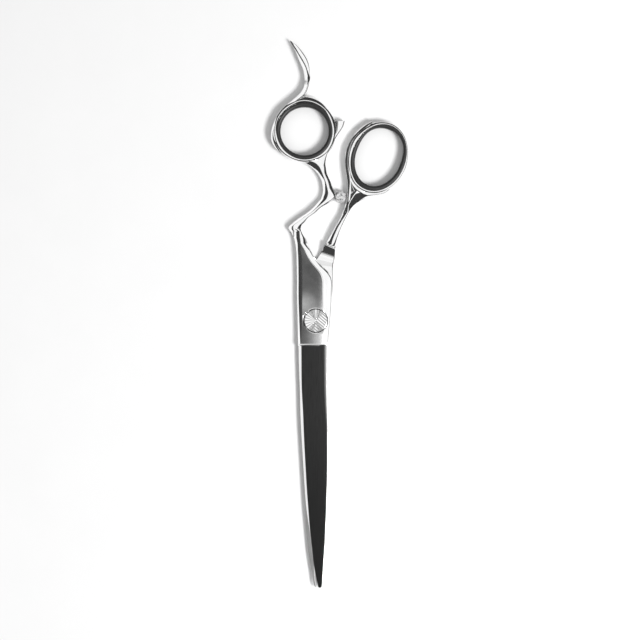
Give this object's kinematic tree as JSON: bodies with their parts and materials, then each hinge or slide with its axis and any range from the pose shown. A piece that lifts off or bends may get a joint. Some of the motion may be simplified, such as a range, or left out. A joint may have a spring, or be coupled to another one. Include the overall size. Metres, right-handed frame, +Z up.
{
  "type": "hair cutting shears",
  "caption": "Offset hair shears with a coated upper blade, polished handles, lined finger and thumb rings, a curved finger rest and an adjustable ball-bearing pivot.",
  "frame": {"origin": "on the pivot axis, at the flat underside of the pivot bolt's head, the level the shears rest on", "axes": "+Y along the closed shears from the tips towards the rings, +X from the finger ring's side towards the thumb ring's side, +Z up along the pivot axis"},
  "size_m": [0.057, 0.2265, 0.006],
  "materials": {
    "forged_steel": "mirror-polished handles, satin ricasso, the upper blade with a black coating",
    "ring_rubber": "matte",
    "clear_silicone": "clear and glossy",
    "pivot_steel": "turned",
    "dial_steel": "satin, with an engraved pattern",
    "nylon": "matte"
  },
  "bodies": {
    "finger_side": {"finger_half": "forged_steel", "finger_ring_insert": "ring_rubber", "bumper": "clear_silicone", "upper_race": "pivot_steel", "pivot_bushing": "nylon", "slide_washer": "nylon"},
    "thumb_side": {"thumb_half": "forged_steel", "thumb_ring_insert": "ring_rubber", "pivot_bolt": "pivot_steel", "lower_race": "pivot_steel", "wave_spring": "pivot_steel"},
    "bearing": {"bearing_cage": "nylon", "bearing_balls": "pivot_steel"},
    "dial_stack": {"pressure_washer": "pivot_steel"},
    "dial": {"tension_dial": "dial_steel"}
  },
  "joints": [
    {"name": "blade_pivot", "type": "hinge", "parent": "finger_side", "child": "thumb_side", "pos_m": [0, 0, 0.003], "axis": [0, 0, -1], "range_deg": [0, 110]},
    {"name": "bearing_turn", "type": "hinge", "parent": "finger_side", "child": "bearing", "pos_m": [0, 0, 0.003], "axis": [0, 0, -1], "range_deg": [0, 56]},
    {"name": "dial_travel", "type": "slide", "parent": "thumb_side", "child": "dial_stack", "axis": [0, 0, 1], "range_m": [-0.000125, 0.000125], "deforming": ["wave_spring"]},
    {"name": "dial_turn", "type": "hinge", "parent": "dial_stack", "child": "dial", "pos_m": [0, 0, 0.0055], "axis": [0, 0, 1], "range_deg": [-91, 91]}
  ],
  "couplings": [
    {"joint": "bearing_turn", "follows": "blade_pivot", "ratio": 0.5},
    {"joint": "dial_turn", "follows": "dial_travel", "rad_per_m": 12566}
  ]
}
